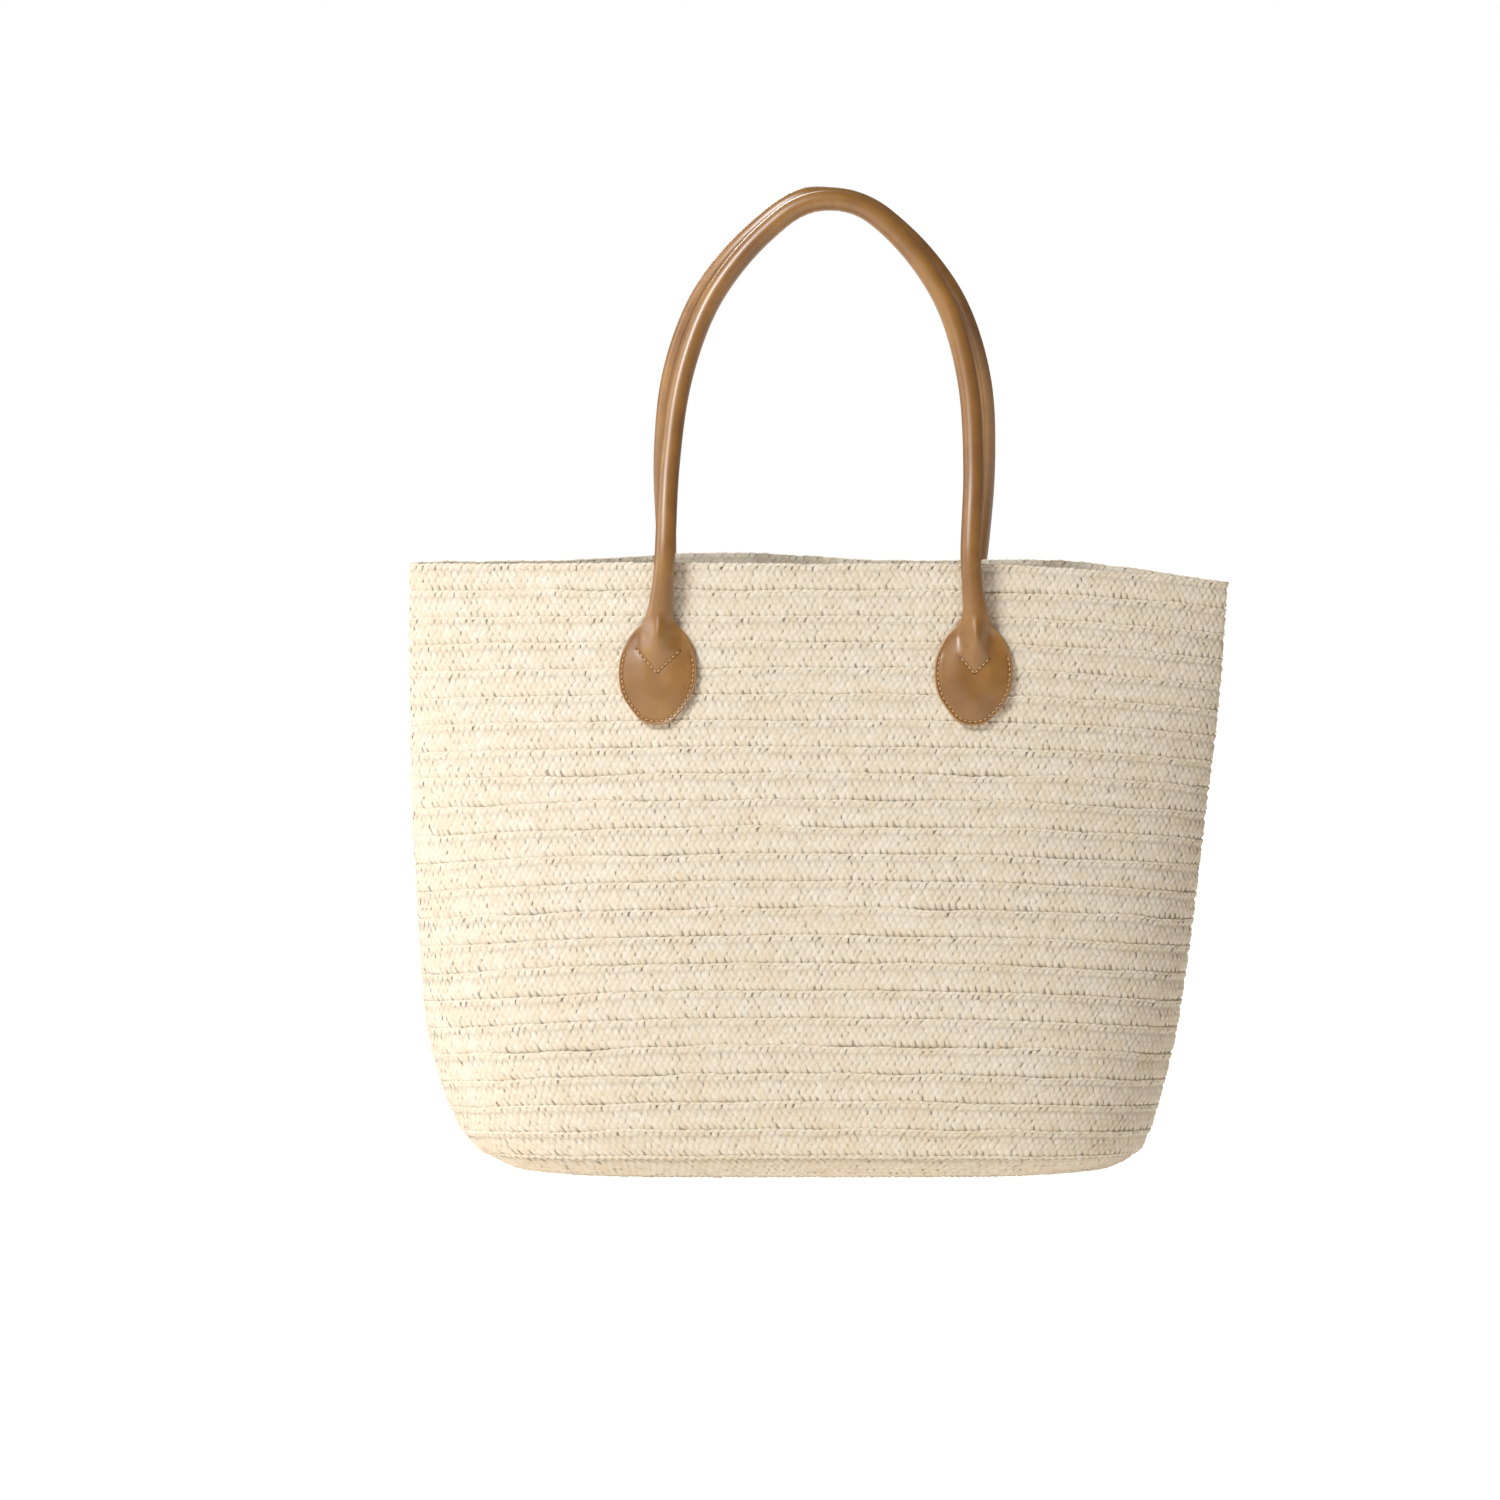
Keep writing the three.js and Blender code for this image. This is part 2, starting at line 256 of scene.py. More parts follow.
def tanned_leather():
    """Vegetable-tanned cowhide, smooth and waxed. It has a satin sheen, a close grain of 0.6 mm and
    clouds of deeper tan. Its cut edges are paler, it is darker where it is pulled in, and painted
    shade darkens its creases."""
    material, tree = new_material("vegetable_tanned_leather")
    place = add_node(tree, "ShaderNodeTexCoord")
    hide = add_node(tree, "ShaderNodeAttribute", attribute_name="hide")
    parts = add_node(tree, "ShaderNodeSeparateXYZ", {"Vector": hide.outputs["Vector"]})
    clouds = add_node(
        tree,
        "ShaderNodeTexNoise",
        {
            "Vector": place.outputs["Object"],
            "Scale": 1 / (22 * MM),
            "Detail": 4.0,
            "Roughness": 0.55,
        },
    )
    grain = add_node(
        tree,
        "ShaderNodeTexVoronoi",
        {"Vector": place.outputs["Object"], "Scale": 1 / (0.6 * MM), "Randomness": 1.0},
        feature="SMOOTH_F1",
    )
    pores = add_node(
        tree,
        "ShaderNodeTexNoise",
        {
            "Vector": place.outputs["Object"],
            "Scale": 1 / (1.1 * MM),
            "Detail": 3.0,
            "Roughness": 0.6,
        },
    )
    tan = add_node(tree, "ShaderNodeValToRGB", {"Fac": clouds.outputs["Fac"]})
    tan.color_ramp.elements[0].position = 0.3
    tan.color_ramp.elements[0].color = linear("#81551e")
    tan.color_ramp.elements[1].position = 0.72
    tan.color_ramp.elements[1].color = linear("#9f702a")
    worn = add_node(
        tree,
        "ShaderNodeMapRange",
        {
            "Value": pores.outputs["Fac"],
            "From Min": 0.3,
            "From Max": 0.7,
            "To Min": 0.93,
            "To Max": 1.05,
        },
    )
    toned = add_node(
        tree,
        "ShaderNodeVectorMath",
        {0: tan.outputs["Color"], "Scale": worn.outputs["Result"]},
        operation="SCALE",
    )
    cut = add_node(
        tree,
        "ShaderNodeMix",
        {0: parts.outputs["X"], 6: toned.outputs["Vector"], 7: linear("#a0743c")},
        data_type="RGBA",
    )
    # Darker where the leather is pulled in, and painted shade in its creases.
    pulled_in_and_crease_shade = add_node(
        tree,
        "ShaderNodeMix",
        {0: parts.outputs["Y"], 6: cut.outputs[2], 7: linear("#4e2f14")},
        data_type="RGBA",
    )
    relief = add_node(
        tree,
        "ShaderNodeMath",
        {0: grain.outputs["Distance"], 1: 0.6, 2: pores.outputs["Fac"]},
        operation="MULTIPLY_ADD",
    )
    bump = add_node(
        tree,
        "ShaderNodeBump",
        {"Height": relief.outputs["Value"], "Strength": 0.22, "Distance": 0.12 * MM},
    )
    gloss = add_node(
        tree,
        "ShaderNodeMapRange",
        {"Value": clouds.outputs["Fac"], "To Min": 0.38, "To Max": 0.5},
    )
    surface = add_node(
        tree,
        "ShaderNodeBsdfPrincipled",
        {
            "Base Color": pulled_in_and_crease_shade.outputs[2],
            "Roughness": gloss.outputs["Result"],
            "Specular IOR Level": 0.9,
            "Coat Weight": 0.7,
            "Coat Roughness": 0.3,
            "Normal": bump.outputs["Normal"],
        },
    )
    add_node(tree, "ShaderNodeOutputMaterial", {"Surface": surface.outputs["BSDF"]})
    return material


def waxed_thread(name, code):
    """Waxed linen thread, a tight two-ply twist about 0.8 mm thick with a dull shine. The punched
    holes are lined with the same wax, and their dark brown is that wax and painted shade in them."""
    material, tree = new_material(name)
    place = add_node(tree, "ShaderNodeTexCoord")
    twist = add_node(
        tree,
        "ShaderNodeTexNoise",
        {"Vector": place.outputs["Object"], "Scale": 1 / (0.4 * MM), "Detail": 2.0},
    )
    bump = add_node(
        tree,
        "ShaderNodeBump",
        {"Height": twist.outputs["Fac"], "Strength": 0.4, "Distance": 0.1 * MM},
    )
    shaded = add_node(
        tree,
        "ShaderNodeMapRange",
        {"Value": twist.outputs["Fac"], "To Min": 0.75, "To Max": 1.2},
    )
    colour = add_node(
        tree,
        "ShaderNodeVectorMath",
        {0: linear(code)[:3], "Scale": shaded.outputs["Result"]},
        operation="SCALE",
    )
    surface = add_node(
        tree,
        "ShaderNodeBsdfPrincipled",
        {
            "Base Color": colour.outputs["Vector"],
            "Roughness": 0.55,
            "Normal": bump.outputs["Normal"],
        },
    )
    add_node(tree, "ShaderNodeOutputMaterial", {"Surface": surface.outputs["BSDF"]})
    return material


STRAW = paper_straw()
LEATHER = tanned_leather()
LEATHER_THREAD = waxed_thread("waxed_linen_thread", "#d0a66c")
# The holes' dark brown is their wax and painted shade.
HOLE = waxed_thread("punched_stitch_hole", "#382110")


def new_piece(name, points, faces, material, attributes, node):
    """Makes one smooth mesh of the bag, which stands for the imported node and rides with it."""
    mesh = bpy.data.meshes.new(name)
    mesh.from_pydata(points.tolist(), [], faces.tolist(), shade_flat=False)
    for key, values in attributes.items():
        kind = "FLOAT_VECTOR" if values.ndim == 2 else "FLOAT"
        field = "vector" if values.ndim == 2 else "value"
        made = mesh.attributes.new(key, kind, "POINT")
        made.data.foreach_set(field, values.astype(np.float32).ravel())
    mesh.materials.append(material)
    piece = bpy.data.objects.new(name, mesh)
    bpy.context.scene.collection.objects.link(piece)
    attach(piece, "root")
    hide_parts(node)
    return piece


def grid_faces(rows, columns, closed_rows=False, closed_columns=False):
    """The four-sided faces of a grid of points, listed row by row."""
    here = np.arange(rows if closed_rows else rows - 1)[:, None]
    beside = np.arange(columns if closed_columns else columns - 1)[None, :]
    up = (here + 1) % rows
    right = (beside + 1) % columns
    low, high = here * columns, up * columns
    corners = [low + beside, low + right, high + right, high + beside]
    return np.stack(np.broadcast_arrays(*corners), axis=-1).reshape(-1, 4)


def many(faces, count, points_each):
    """The same faces over again, once for each of count like patches."""
    start = (np.arange(count) * points_each)[:, None, None]
    return (faces[None] + start).reshape(-1, 4)


def closed_spline(points):
    """A smooth closed curve through points, as a function of place, which grows by 1 a point."""
    count = len(points)
    one = np.eye(count)
    after = np.roll(points, -1, axis=0)
    before = np.roll(points, 1, axis=0)
    matrix = 4 * one + np.roll(one, 1, axis=0) + np.roll(one, -1, axis=0)
    bend = np.linalg.solve(matrix, 6 * (after - 2 * points + before))

    def at(place):
        low = np.floor(place)
        b = (place - low)[..., None]
        a = 1 - b
        left = low.astype(int) % count
        right = (left + 1) % count
        line = a * points[left] + b * points[right]
        return line + ((a**3 - a) * bend[left] + (b**3 - b) * bend[right]) / 6

    return at


def open_spline(knots, values):
    """A smooth curve through values at knots, as a function of the knots' measure."""
    count = len(knots)
    step = np.diff(knots)
    matrix = np.eye(count)
    pull = np.zeros_like(values)
    for i in range(1, count - 1):
        matrix[i, i - 1 : i + 2] = step[i - 1], 2 * (step[i - 1] + step[i]), step[i]
        rise = (values[i + 1] - values[i]) / step[i] - (values[i] - values[i - 1]) / step[i - 1]
        pull[i] = 6 * rise
    bend = np.linalg.solve(matrix, pull)

    def at(place):
        place = np.asarray(place, float)
        left = np.clip(np.searchsorted(knots, place, side="right") - 1, 0, count - 2)
        width = step[left]
        b = (place - knots[left]) / width
        shape = b.shape + (1,) * (values.ndim - 1)
        b = b.reshape(shape)
        width = width.reshape(shape)
        a = 1 - b
        line = a * values[left] + b * values[left + 1]
        return line + ((a**3 - a) * bend[left] + (b**3 - b) * bend[left + 1]) * width**2 / 6

    return at


def rings_of(node):
    """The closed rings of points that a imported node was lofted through, from end to end."""
    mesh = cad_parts[node].data
    corners = np.array([v.co[:] for v in mesh.vertices])
    places, same = np.unique(np.round(corners, 5), axis=0, return_inverse=True)
    same = same.ravel()
    beside = [set() for _ in places]
    for face in mesh.polygons:
        loop = [int(same[i]) for i in face.vertices]
        for here, there in zip(loop, loop[1:] + loop[:1]):
            beside[here].add(there)
            beside[there].add(here)
    most = max(len(others) for others in beside)
    caps = [k for k, others in enumerate(beside) if len(others) == most]
    cap = min(caps, key=lambda k: places[k][0] + places[k][2])
    seen = {cap}
    layer = set(beside[cap])
    rings = []
    while len(layer) > 1:
        order = [min(layer)]
        while len(order) < len(layer):
            order.append(next(k for k in beside[order[-1]] & layer if k not in order))
        rings.append(places[order])
        seen |= layer
        layer = set().union(*(beside[k] for k in layer)) - seen
    return rings


def smooth_step(low, high, value):
    share = np.clip((value - low) / (high - low), 0, 1)
    return share * share * (3 - 2 * share)


class Band:
    """A band of plait round the bag, through a few closed rings from its foot up to its edge."""

    def __init__(self, rings, facing=None):
        self.curves = [closed_spline(ring) for ring in rings]
        gaps = [np.linalg.norm(b - a, axis=1).mean() for a, b in zip(rings, rings[1:])]
        self.height = sum(gaps)
        self.knots = np.concatenate([[0], np.cumsum(gaps)])
        self.facing = facing
        self.sides = len(rings[0])
        places = np.linspace(0, self.sides, 60 * self.sides + 1)
        line = self.point(places, np.full_like(places, self.height * 0.6))
        self.run = np.concatenate([[0], np.cumsum(np.linalg.norm(np.diff(line, axis=0), axis=1))])
        self.places = places
        self.length = self.run[-1]

    def place(self, along):
        """The place round the rings at a distance along the plait."""
        turns = np.floor(along / self.length)
        return np.interp(along - turns * self.length, self.run, self.places) + turns * self.sides

    def point(self, place, up):
        """A point at a place round the rings and a height up from the foot."""
        rows = np.stack([curve(place) for curve in self.curves])
        knots = self.knots
        slopes = np.empty_like(rows)
        slopes[0] = (rows[1] - rows[0]) / (knots[1] - knots[0])
        slopes[-1] = (rows[-1] - rows[-2]) / (knots[-1] - knots[-2])
        for i in range(1, len(knots) - 1):
            slopes[i] = (rows[i + 1] - rows[i - 1]) / (knots[i + 1] - knots[i - 1])
        k = np.clip(np.searchsorted(knots, up, side="right") - 1, 0, len(knots) - 2)
        wide = (knots[k + 1] - knots[k])[..., None]
        b = ((up - knots[k])[..., None]) / wide
        pick = lambda table, i: np.take_along_axis(table, i[None, ..., None], axis=0)[0]
        low, high = pick(rows, k), pick(rows, k + 1)
        rise, fall = pick(slopes, k) * wide, pick(slopes, k + 1) * wide
        curve = (1 + 2 * b) * (1 - b) ** 2 * low + b * (1 - b) ** 2 * rise
        return curve + b * b * (3 - 2 * b) * high + b * b * (b - 1) * fall

    def normal(self, place, up):
        """The way that the band faces there, out of the bag."""
        if self.facing is not None:
            return np.broadcast_to(self.facing, place.shape + (3,))
        level = np.clip(up, 0.5 * MM, self.height - 0.5 * MM)
        aside, above = 0.12, 0.4 * MM  # the steps that its slopes are measured over
        round_it = self.point(place + aside, level) - self.point(place - aside, level)
        up_it = self.point(place, level + above) - self.point(place, level - above)
        out = np.cross(round_it, up_it)
        return out / np.linalg.norm(out, axis=-1, keepdims=True)

    def lay(self, along, up, off):
        """Points on the plait, off the band by some distance."""
        place = self.place(along)
        return self.point(place, up) + self.normal(place, up) * off[..., None]

    def face(self, up):
        """How far the plait's face stands off the band: bellied, pulled in at the furrow that the
        sewing makes, and leaning in where it is tucked behind the round below."""
        down = self.height - up
        furrow = -FURROW_DEEP * np.exp(-(((down - FURROW_DROP) / FURROW_HALF) ** 2))
        belly = BELLY * np.sin(math.pi * np.clip(up / (self.height - FURROW_DROP), 0, 1))
        foot = FOOT_LIFT * smooth_step(0.6 * self.height, 0, up)
        return furrow + belly + foot - TUCKED * smooth_step(1.0 * MM, -0.8 * MM, up)


def plait_round(name, band, tuck, sway=0, lifted_to=0, rim=False):
    """One round of plait: crossed strands on both faces, strands folded round its upper edge, and
    the crossed strands behind them."""
    count = round(band.length / PITCH)
    pitch = band.length / count
    top = band.height
    rows = round((top - FIRST_ROW - LAST_ROW) / ROW) + 1
    inner_rows = round((top + INNER_LAST - INNER_FIRST) / ROW) + (2 if rim else 1)
    parts = []
    waves = [(n, chance.normal(0, sway / n**0.5), TURN * chance.random()) for n in SWAY_WAVES]

    def swayed(along, up):
        """A height on the plait, moved up or down as its upper edge wanders there."""
        turn = TURN * along / band.length
        drift = sum(size * np.sin(n * turn + start) for n, size, start in waves)
        return up + drift * np.clip(up / top, 0, 1)

    def sunk(up):
        """How far the plait lies back from its band, to leave room for its strands under the bag:
        in full low down, and less and less up to lifted_to."""
        return -BASE_LIFT * smooth_step(lifted_to, 0.3 * lifted_to, up) if lifted_to else 0 * up

    def strands(rows, first_up, side, across_points, along_points):
        """Rows of strands where they cross over, leaning one way in one row and the other in the
        next."""
        j, i = np.meshgrid(np.arange(rows), np.arange(count), indexing="ij")
        j, i = j.ravel(), i.ravel()
        size = len(i)
        lean_by = math.atan(pitch / 2 / ROW)
        middle = (i + 0.5 * (j % 2)) * pitch + chance.normal(0, STRAY, size)
        level = first_up + ROW * j + chance.normal(0, STRAY, size)
        lean = np.where(j % 2 == 1, 1, -1) * (lean_by + chance.normal(*LEAN_SCATTER, size))
        half = ROW / math.cos(lean_by) * (0.98 + chance.normal(0, LENGTH_SCATTER, size))
        wide = STRAND / 2 * (1 + chance.normal(0, WIDTH_SCATTER, size))
        lift = RELIEF * (1 + chance.normal(0, RELIEF_SCATTER, size))
        tilt = chance.normal(0, TILT, size)
        u = np.linspace(-1, 1, along_points)[None, :, None]
        v = np.linspace(-1, 1, across_points)[None, None, :]
        c = lambda values: values[:, None, None]
        arch = np.cos(u * math.pi / 2)
        beside = c(wide) * v * (0.5 + 0.5 * arch)
        along = c(middle) + c(half) * u * np.sin(c(lean)) + beside * np.cos(c(lean))
        up = c(level) + c(half) * u * np.cos(c(lean)) - beside * np.sin(c(lean))
        up = np.clip(up, -tuck, top - HEMMED)
        crown = arch * (1 - 0.8 * v * v) * c(lift) - UNDER * (1 - arch)
        off = band.face(up) + crown + c(tilt) * v * arch
        if side < 0:
            off = -UNDER - THICK - crown - c(tilt) * v * arch
        points = band.lay(along, swayed(along, up), off + sunk(up))
        hank = chance.random(size)
        trace = np.stack(np.broadcast_arrays(c(half) * u / MM, beside / MM, c(hank)), axis=-1)
        faces = many(grid_faces(along_points, across_points), size, across_points * along_points)
        # Painted shading: a painted highlight on each strand's crown, lower where it dives under;
        # also darker in the furrow.
        furrow_darkening = FURROW_TONE * np.exp(-(((top - up - FURROW_DROP) / FURROW_HALF) ** 2))
        painted_shading = STRAND_TONE + CROWN_HIGHLIGHT * arch * (1 - 0.5 * v * v) - furrow_darkening
        if side < 0:
            faces = faces[:, ::-1]
        parts.append((points.reshape(-1, 3), faces, trace.reshape(-1, 3), painted_shading.ravel()))

    def folds():
        """Strands folded round the plait's upper edge."""
        middle = (np.arange(count) + 0.5 * (rows % 2)) * pitch + chance.normal(0, STRAY, count)
        size = FOLD_SIZE * (1 + chance.normal(0, FOLD_SCATTER, count))
        slant = chance.normal(*FOLD_SLANT, count)
        # Each runs from its foot on the face, over the edge and down the inside.
        turns = np.radians([-75, -20, 35, 95, 165])
        ring = turns[None, :, None]
        v = np.linspace(-1, 1, 4)[None, None, :]
        c = lambda values: values[:, None, None]
        full = 0.3 + 0.7 * np.cos(v * math.pi / 2)
        out = c(size) * np.cos(ring) * full
        rise = c(size) * np.sin(ring) * (0.5 + 0.5 * full)
        along = c(middle) + pitch * 0.53 * v + c(slant) * rise
        up = top - FOLD_DROP + rise
        off = out - FOLD_SET + 0 * v
        points = band.lay(along, swayed(along, up), off + sunk(up))
        hank = chance.random(count)
        trace = np.stack(np.broadcast_arrays(c(size) * ring / MM, pitch * v / MM, c(hank)), axis=-1)
        faces = many(grid_faces(len(turns), v.size), count, len(turns) * v.size)
        # Painted highlight on the crown of each folded strand.
        painted_shading = np.broadcast_to(FOLD_TONE + FOLD_CROWN_HIGHLIGHT * full, points.shape[:3])
        parts.append((points.reshape(-1, 3), faces, trace.reshape(-1, 3), painted_shading.ravel()))

    def backing():
        """The strands that are crossed over, as one closed band under the others."""
        between = np.arange(2.5 * MM, top - 6 * MM, BACKING_RISE)
        levels = np.concatenate([[-tuck], between, [top - FURROW_DROP, top - BACKING_TOP]])
        inner_levels = np.concatenate([[top - BACKING_TOP], between[::-1], [-tuck]])
        outside = band.face(levels) - UNDER
        inside = np.full(len(inner_levels), 0.1 * MM - UNDER - THICK)
        up = np.concatenate([levels, inner_levels])[None, :]
        off = np.concatenate([outside, inside])[None, :] + sunk(up)
        places = (np.arange(BACKING_STEPS) * band.sides / BACKING_STEPS)[:, None]
        places, up, off = np.broadcast_arrays(places, up, off)
        level = swayed(np.interp(places, band.places, band.run), up)
        points = band.point(places, level) + band.normal(places, level) * off[..., None]
        faces = grid_faces(BACKING_STEPS, off.shape[1], True, True)[:, ::-1]
        trace = np.stack([up / MM, places * 9.0, np.full(up.shape, 0.3)], axis=-1)
        # Painted shade on the backing, seen only between the strands.
        painted_shading = np.full(up.size, BACKING_SHADE)
        parts.append((points.reshape(-1, 3), faces, trace.reshape(-1, 3), painted_shading))

    strands(rows, top - FIRST_ROW - ROW * (rows - 1), 1, 3, 5)
    strands(inner_rows, -INNER_LAST, -1, 2, 4)
    folds()
    backing()
    start = np.cumsum([0] + [len(p[0]) for p in parts[:-1]])
    points = np.concatenate([p[0] for p in parts])
    faces = np.concatenate([p[1] + s for p, s in zip(parts, start)])
    attributes = {
        "strand": np.concatenate([p[2] for p in parts]),
        "painted_shading": np.concatenate([p[3] for p in parts]),
    }
    piece = new_piece(name, points, faces, STRAW, attributes, "straw_body")


def straw_body():
    """The base's flat rounds of plait, and the rounds of the wall above them."""
    rings = []
    for ring in rings_of("straw_body"):
        ring = np.roll(ring, -int(np.argmax(ring[:, 0])), axis=0)
        if ring[1, 1] < ring[-1, 1]:
            ring = np.roll(ring[::-1], 1, axis=0)
        rings.append(ring)
    outline = rings[0]
    half_wide = np.ptp(outline[:, 0]) / 2
    half_deep = np.ptp(outline[:, 1]) / 2
    spine = outline * ((half_wide - half_deep) / half_wide, 0, 0)
    for k in range(BASE_ROUNDS):
        foot = spine + (outline - spine) * max(k / BASE_ROUNDS, BASE_SLOT)
        edge = spine + (outline - spine) * (k + 1) / BASE_ROUNDS
        band = Band([foot, edge], facing=np.array([0, 0, -1.0]))
        tuck = 1 * MM if k == 0 else TUCK
        plait_round(f"base_round_{k + 1}", band, tuck, lifted_to=BASE_LIFTED_TO)
    for k in range(BODY_ROUNDS):
        edge = rings[CORNER_RINGS + 2 * k]
        below = rings[:CORNER_RINGS] if k == 0 else [rings[CORNER_RINGS + 2 * k - 1]]
        tuck, lifted_to = (0, CORNER_LIFT) if k == 0 else (TUCK, 0)
        rim = k == BODY_ROUNDS - 1
        plait_round(f"wall_round_{k + 1}", Band(below + [edge]), tuck, SWAY, lifted_to, rim)


class Handle:
    """A rolled leather handle with a pad at each end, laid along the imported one."""

    def __init__(self, node, side):
        self.node = node
        self.side = side
        rings = rings_of(node)
        count = len(rings[0])
        middles = np.array([ring.mean(axis=0) for ring in rings])
        widest = 4  # the ring at the widest place of the first pad
        ring = rings[widest]
        start = max(range(count // 2), key=lambda i: np.linalg.norm(ring[i] - ring[i + count // 2]))
        ring = np.roll(ring, -start, axis=0)
        ahead = middles[widest + 1] - middles[widest]
        across = np.cross((0, side, 0), ahead)
        if (ring[0] - ring[count // 2]) @ across < 0:
            ring = np.roll(ring, count // 2, axis=0)
        if (ring[count // 4] - middles[widest])[1] * side < 0:
            ring = np.roll(ring[::-1], 1, axis=0)
        rings[widest] = ring
        for order in (range(widest - 1, -1, -1), range(widest + 1, len(rings))):
            last = ring
            for k in order:
                last = rings[k] = self.turned_like(rings[k], last)
        rings = np.array(rings)
        half = count // 2
        quarter = count // 4
        middle = (rings[:, 0] + rings[:, half]) / 2
        wide = np.linalg.norm(rings[:, 0] - rings[:, half], axis=1) / 2
        across = (rings[:, 0] - rings[:, half]) / (2 * wide[:, None])
        tall = rings[:, quarter] - middle
        run = np.concatenate([[0], np.cumsum(np.linalg.norm(np.diff(middle, axis=0), axis=1))])
        self.length = run[-1]
        squared = wide**2
        squared[[0, -1]] = 0
        self.middle_at = open_spline(run, middle)
        self.across_at = open_spline(run, across)
        self.out_at = open_spline(run, tall / np.linalg.norm(tall, axis=1)[:, None])
        self.rise_at = open_spline(run, np.linalg.norm(tall, axis=1))
        self.sink_at = open_spline(run, np.linalg.norm(rings[:, quarter + half] - middle, axis=1))
        self.squared_at = open_spline(run, squared)
        near = PAD_REACH * np.linspace(0, 1, 500) ** 2
        self.outlines = [
            np.stack([near, self.half_width(near)], axis=1),
            np.stack([near, self.half_width(self.length - near)], axis=1),
        ]

    @staticmethod
    def turned_like(ring, last):
        """The same ring, started and run round as the ring before it."""
        flat = ring - ring.mean(axis=0)
        model = last - last.mean(axis=0)
        tries = [
            np.roll(way, turn, axis=0) for way in (flat, flat[::-1]) for turn in range(len(ring))
        ]
        return min(tries, key=lambda t: ((t - model) ** 2).sum()) + ring.mean(axis=0)

    def half_width(self, along):
        return np.sqrt(np.clip(self.squared_at(along), 0, None))

    def from_tip(self, along):
        """How far a place along the handle lies from the nearer pad's tip."""
        return np.minimum(along, self.length - along)

    def v_size(self, along):
        """Half of the width of the stitched V on the nearer pad, and its full height."""
        left = along < self.length / 2
        return np.where(left, V_LEFT[0], V_RIGHT[0]), np.where(left, V_LEFT[1], V_RIGHT[1])

    def from_edge(self, along, beside):
        """How far a point of a pad lies in from its cut edge."""
        from_tip = self.from_tip(along)
        gap = np.full(np.shape(beside), PAD_REACH)
        for end, outline in enumerate(self.outlines):
            mine = (along > self.length / 2) == bool(end)
            near = mine & (from_tip < PAD_REACH)
            if near.any():
                at = np.stack([from_tip[near], np.abs(beside[near])], axis=-1)
                gap[near] = np.linalg.norm(at[:, None] - outline[None], axis=-1).min(axis=1)
        return gap

    def ridge(self, along, beside):
        """The share of the ridge's height that stands over a point of a pad. The ridge is the end
        of the handle's core under the leather, and runs down to a point at the stitched V."""
        from_tip = self.from_tip(along)
        v_wide, v_tall = self.v_size(along)
        opened = v_wide * np.clip((from_tip - V_FOOT) / v_tall, 0.03, 1)
        half = np.minimum(opened + 0.8 * MM, np.maximum(self.half_width(along) * 0.98, RIDGE_HALF))
        share = np.clip(np.abs(beside) / half, 0, 1)
        return (0.5 + 0.5 * np.cos(math.pi * share)) ** 0.8

    def v_gap(self, along, beside):
        """How far a point lies from the lines of the stitched V."""
        from_tip = self.from_tip(along)
        v_wide, v_tall = self.v_size(along)
        aside, up = np.abs(beside), from_tip - V_FOOT
        share = np.clip((aside * v_wide + up * v_tall) / (v_wide**2 + v_tall**2), 0, 1)
        return np.hypot(aside - share * v_wide, up - share * v_tall)

    @staticmethod
    def bevel(gap):
        """How far the leather is rounded off, this near to its cut edge."""
        near = 1 - np.clip(gap / PAD_BEVEL, 0, 1)
        return PAD_BEVEL * (1 - np.sqrt(1 - near**2))

    def face(self, along, beside):
        """The height of a pad's outer face over the handle's line."""
        rise, sink = self.rise_at(along), self.sink_at(along)
        gap = self.from_edge(along, beside)
        from_tip = self.from_tip(along)
        stitched = smooth_step(BORDER_TO + 3 * MM, BORDER_TO - 2 * MM, from_tip)
        pull = BORDER_PULL * np.exp(-(((gap - BORDER) / (0.8 * MM)) ** 2)) * stitched
        v_pull = V_PULL * np.exp(-((self.v_gap(along, beside) / (0.9 * MM)) ** 2))
        swell = PAD_SWELL * smooth_step(0, SWELL_OVER, gap)
        ridge = np.maximum(rise + sink - PAD_PLATE, 0) * self.ridge(along, beside)
        core = CORE_RISE * smooth_step(V_FOOT + CORE_FROM, V_FOOT + CORE_TO, from_tip)
        core = core * np.exp(-((beside / CORE_HALF) ** 2))
        return -sink + PAD_PLATE - self.bevel(gap) - pull - v_pull + swell + ridge + core

    def lay(self, along, beside, height):
        """A point beside the handle's line and over it."""
        aside = self.across_at(along) * beside[..., None]
        return self.middle_at(along) + aside + self.out_at(along) * height[..., None]

    def stations(self):
        """The places along the handle, closer together at its pads and under its top."""
        tip_to, crown_half = 4 * MM, 40 * MM
        tip = tip_to * (np.arange(12) / 12) ** 2
        pad = np.arange(tip_to, PAD_REACH, 0.9 * MM)
        ends = np.concatenate([tip, pad])
        middle = self.length / 2
        roll = np.arange(PAD_REACH, middle - crown_half, 3 * MM)
        crown = np.arange(middle - crown_half, middle + crown_half, 0.75 * MM)
        left = np.concatenate([ends, roll])
        return np.concatenate([left, crown, (self.length - left)[::-1]])

